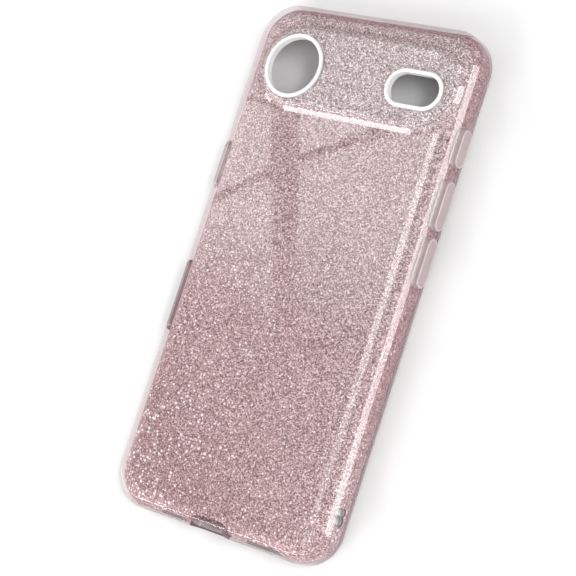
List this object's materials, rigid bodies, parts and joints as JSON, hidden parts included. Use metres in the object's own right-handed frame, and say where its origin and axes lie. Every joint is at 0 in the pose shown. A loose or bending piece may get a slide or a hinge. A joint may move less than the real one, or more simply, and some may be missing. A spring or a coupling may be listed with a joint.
{
  "type": "phone case",
  "caption": "Slim layered phone case: clear soft shell over a rose glitter sheet and a hard clear plate, with a raised camera plateau and sprung button covers.",
  "frame": {"origin": "middle of the case in plan, on the plane of the lip that it lies on", "axes": "+X towards the wall with three button covers, +Y towards the camera end, +Z out of the back"},
  "size_m": [0.0799, 0.1602, 0.0111],
  "materials": {
    "clear_shell": "clear soft plastic with a faint rose tint, glossy",
    "glitter": "rose glitter film",
    "clear_plate": "clear hard plastic, glossy",
    "button_cover": "soft rose-tinted plastic, satin pad in a glossy bead"
  },
  "bodies": {
    "case": {"outer_shell": "clear_shell", "glitter_sheet": "glitter", "inner_plate": "clear_plate", "action_button_web": "clear_shell", "volume_up_web": "clear_shell", "volume_down_web": "clear_shell", "side_button_web": "clear_shell"},
    "action_button": {"action_button_cover": "button_cover"},
    "volume_up": {"volume_up_cover": "button_cover"},
    "volume_down": {"volume_down_cover": "button_cover"},
    "side_button": {"side_button_cover": "button_cover"}
  },
  "joints": [
    {"name": "action_button_press", "type": "slide", "parent": "case", "child": "action_button", "axis": [-1, 0, 0], "range_m": [0, 0.0004], "stiffness_N_per_m": 800, "deforming": ["action_button_web"]},
    {"name": "volume_up_press", "type": "slide", "parent": "case", "child": "volume_up", "axis": [-1, 0, 0], "range_m": [0, 0.0004], "stiffness_N_per_m": 800, "deforming": ["volume_up_web"]},
    {"name": "volume_down_press", "type": "slide", "parent": "case", "child": "volume_down", "axis": [-1, 0, 0], "range_m": [0, 0.0004], "stiffness_N_per_m": 800, "deforming": ["volume_down_web"]},
    {"name": "side_button_press", "type": "slide", "parent": "case", "child": "side_button", "axis": [1, 0, 0], "range_m": [0, 0.0004], "stiffness_N_per_m": 800, "deforming": ["side_button_web"]}
  ]
}
